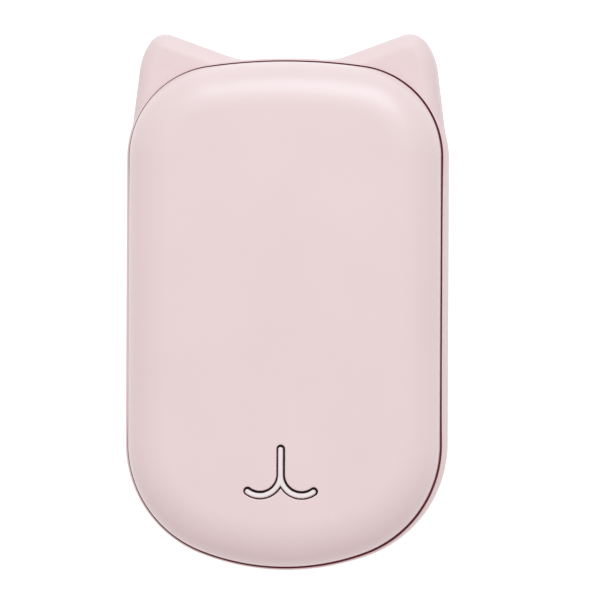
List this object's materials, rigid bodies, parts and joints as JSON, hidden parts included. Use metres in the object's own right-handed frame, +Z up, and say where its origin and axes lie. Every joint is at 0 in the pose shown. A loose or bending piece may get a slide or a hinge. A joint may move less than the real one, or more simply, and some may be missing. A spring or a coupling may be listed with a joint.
{
  "type": "rechargeable hand warmer",
  "caption": "Palm-sized rechargeable hand warmer: two domed metal shells on a moulded frame with two ear pads, a heater behind each shell, side button, sockets in the lower end.",
  "frame": {"origin": "bottom centre of the bounding box, on the flat middle of the rear cover", "axes": "+Z up out of the front cover, +Y towards the ears, +X to the right when the mouth is seen upright"},
  "size_m": [0.0622, 0.1033, 0.025],
  "materials": {
    "cover_paint": "satin",
    "frame_plastic": "satin",
    "insert_plastic": "satin",
    "bond_tape": "matte",
    "heater_film": "gloss",
    "heater_track": "satin",
    "foam": "matte",
    "cell_foil": "satin",
    "tin_plate": "satin",
    "circuit_board": "gloss",
    "chip_black": "matte",
    "lead_red": "satin",
    "lead_black": "satin",
    "lead_grey": "satin",
    "sensor_glass": "gloss",
    "screw_steel": "satin",
    "socket_plastic": "matte",
    "contact_gold": "gloss",
    "light_white": "gloss",
    "guide_clear": "gloss",
    "ferrite": "matte",
    "capacitor": "matte",
    "plunger_white": "matte"
  },
  "bodies": {
    "case": {"front_cover": "cover_paint", "rear_cover": "cover_paint", "middle_frame": "frame_plastic", "mouth_insert": "insert_plastic", "front_bond_tape": "bond_tape", "rear_bond_tape": "bond_tape", "front_heater_film": "heater_film", "front_heater_track": "heater_track", "rear_heater_film": "heater_film", "rear_heater_track": "heater_track", "front_insulation_pad": "foam", "rear_insulation_pad": "foam", "battery_cell": "cell_foil", "battery_tabs": "tin_plate", "protection_board": "circuit_board", "protection_chips": "chip_black", "battery_lead_red": "lead_red", "battery_lead_black": "lead_black", "front_heater_leads": "lead_grey", "rear_heater_leads": "lead_grey", "temperature_sensor": "sensor_glass", "main_board": "circuit_board", "board_screws": "screw_steel", "output_socket_shell": "tin_plate", "output_socket_tongue": "socket_plastic", "output_socket_contacts": "contact_gold", "input_socket_shell": "tin_plate", "input_socket_tongue": "socket_plastic", "input_socket_contacts": "contact_gold", "switch_body": "chip_black", "status_lights": "light_white", "light_guide": "guide_clear", "power_inductor": "ferrite", "control_chips": "chip_black", "chip_capacitors": "capacitor"},
    "button": {"power_button": "frame_plastic"},
    "plunger": {"switch_plunger": "plunger_white"}
  },
  "joints": [
    {"name": "button_press", "type": "slide", "parent": "case", "child": "button", "axis": [1, 0, 0], "range_m": [0, 0.0003], "stiffness_N_per_m": 3000},
    {"name": "plunger_press", "type": "slide", "parent": "case", "child": "plunger", "axis": [1, 0, 0], "range_m": [0, 0.0003]}
  ],
  "couplings": [
    {"joint": "plunger_press", "follows": "button_press", "ratio": 1}
  ]
}
